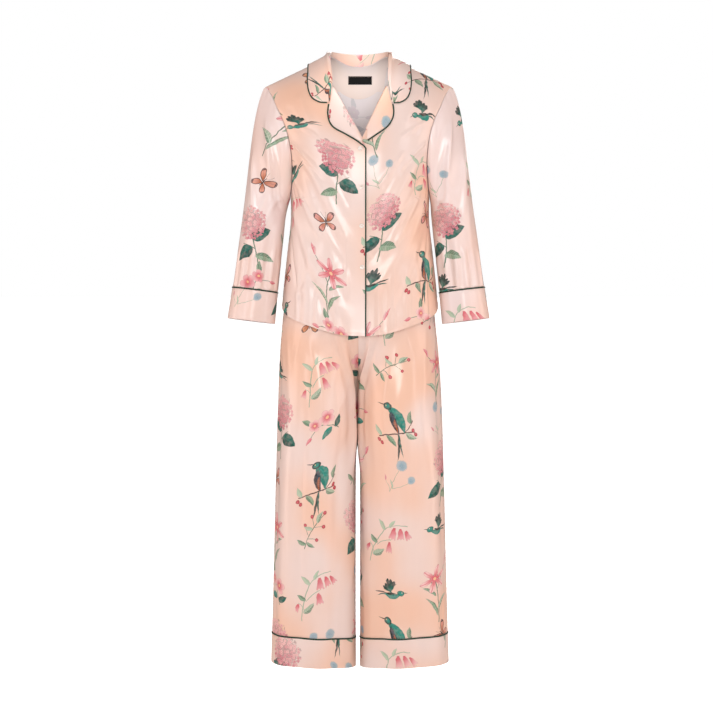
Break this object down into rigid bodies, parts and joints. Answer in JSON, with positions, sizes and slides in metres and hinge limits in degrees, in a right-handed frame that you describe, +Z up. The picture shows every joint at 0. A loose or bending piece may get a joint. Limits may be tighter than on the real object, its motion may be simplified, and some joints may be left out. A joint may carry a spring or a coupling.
{
  "type": "pyjama set",
  "caption": "Satin pyjama set in its worn, hollow form: a notched-collar, button-front shirt with long sleeves and a curved hem over wide straight trousers, edged in dark piping.",
  "frame": {"origin": "centre of the neck base, level with the shoulder seams at the neck, where a wearer or a hanger holds the set", "axes": "+Z up, the front faces -Y, +X towards the wearer's left"},
  "size_m": [0.6014, 0.255, 1.4163],
  "materials": {
    "satin": "pale peach satin with a scattered botanical print, greyer on its wrong side",
    "piping": "very dark green bias piping",
    "buttons": "pearly white",
    "label": "plain black woven label"
  },
  "bodies": {
    "root": {"front_right": "satin", "front_left": "satin", "back": "satin", "back_facing": "satin", "lapel_right": "satin", "lapel_left": "satin", "collar": "satin", "sleeve_right": "satin", "sleeve_left": "satin", "cuff_right": "satin", "cuff_left": "satin", "leg_front_right": "satin", "leg_front_left": "satin", "leg_back_right": "satin", "leg_back_left": "satin", "waistband": "satin", "hem_band_right": "satin", "hem_band_left": "satin", "collar_piping": "piping", "front_piping_right": "piping", "lapel_piping_left": "piping", "cuff_piping_right": "piping", "cuff_piping_left": "piping", "hem_piping_right": "piping", "hem_piping_left": "piping", "button_1": "buttons", "button_2": "buttons", "button_3": "buttons", "button_4": "buttons", "label": "label"}
  },
  "joints": []
}
